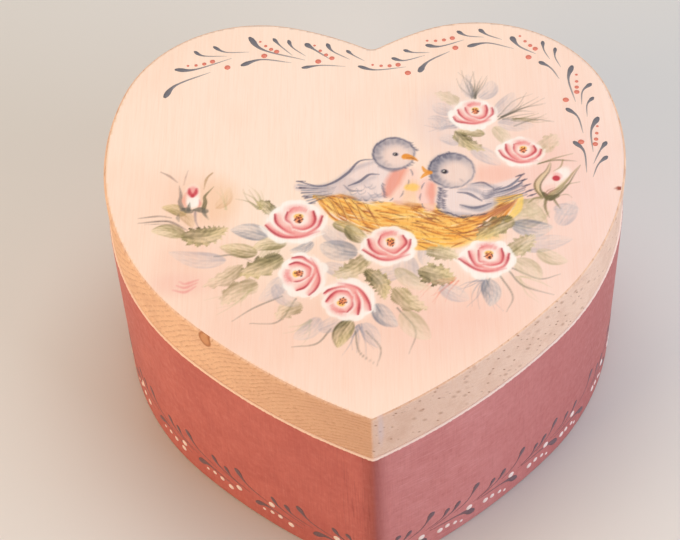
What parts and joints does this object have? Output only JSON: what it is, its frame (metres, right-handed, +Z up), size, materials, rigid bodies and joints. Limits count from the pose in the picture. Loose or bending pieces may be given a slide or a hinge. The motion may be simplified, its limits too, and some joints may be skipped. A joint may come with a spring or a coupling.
{
  "type": "heart-shaped trinket box",
  "caption": "Heart-shaped wooden trinket box with a lift-off board lid, a heart-shaped hollow inside and a folk-art painted finish.",
  "frame": {"origin": "middle of the underside's bounding rectangle", "axes": "+Z up through the lid, -Y towards the point of the heart"},
  "size_m": [0.159, 0.1542, 0.0825],
  "materials": {
    "solid_wood": "satin",
    "painted_wood": "satin",
    "panel_wood": "matt",
    "steel_pins": "satin",
    "felt": "matt"
  },
  "bodies": {
    "box": {"wall_upper_ring": "painted_wood", "wall_middle_ring": "painted_wood", "wall_lower_ring": "painted_wood", "floor_board": "panel_wood", "floor_pins": "steel_pins", "floor_felt": "felt"},
    "lid": {"lid_board": "solid_wood", "lid_locating_panel": "panel_wood", "lid_panel_pins": "steel_pins"}
  },
  "joints": [
    {"name": "lid_lift", "type": "slide", "parent": "box", "child": "lid", "axis": [0, 0, 1], "range_m": [0, 0.1]}
  ]
}
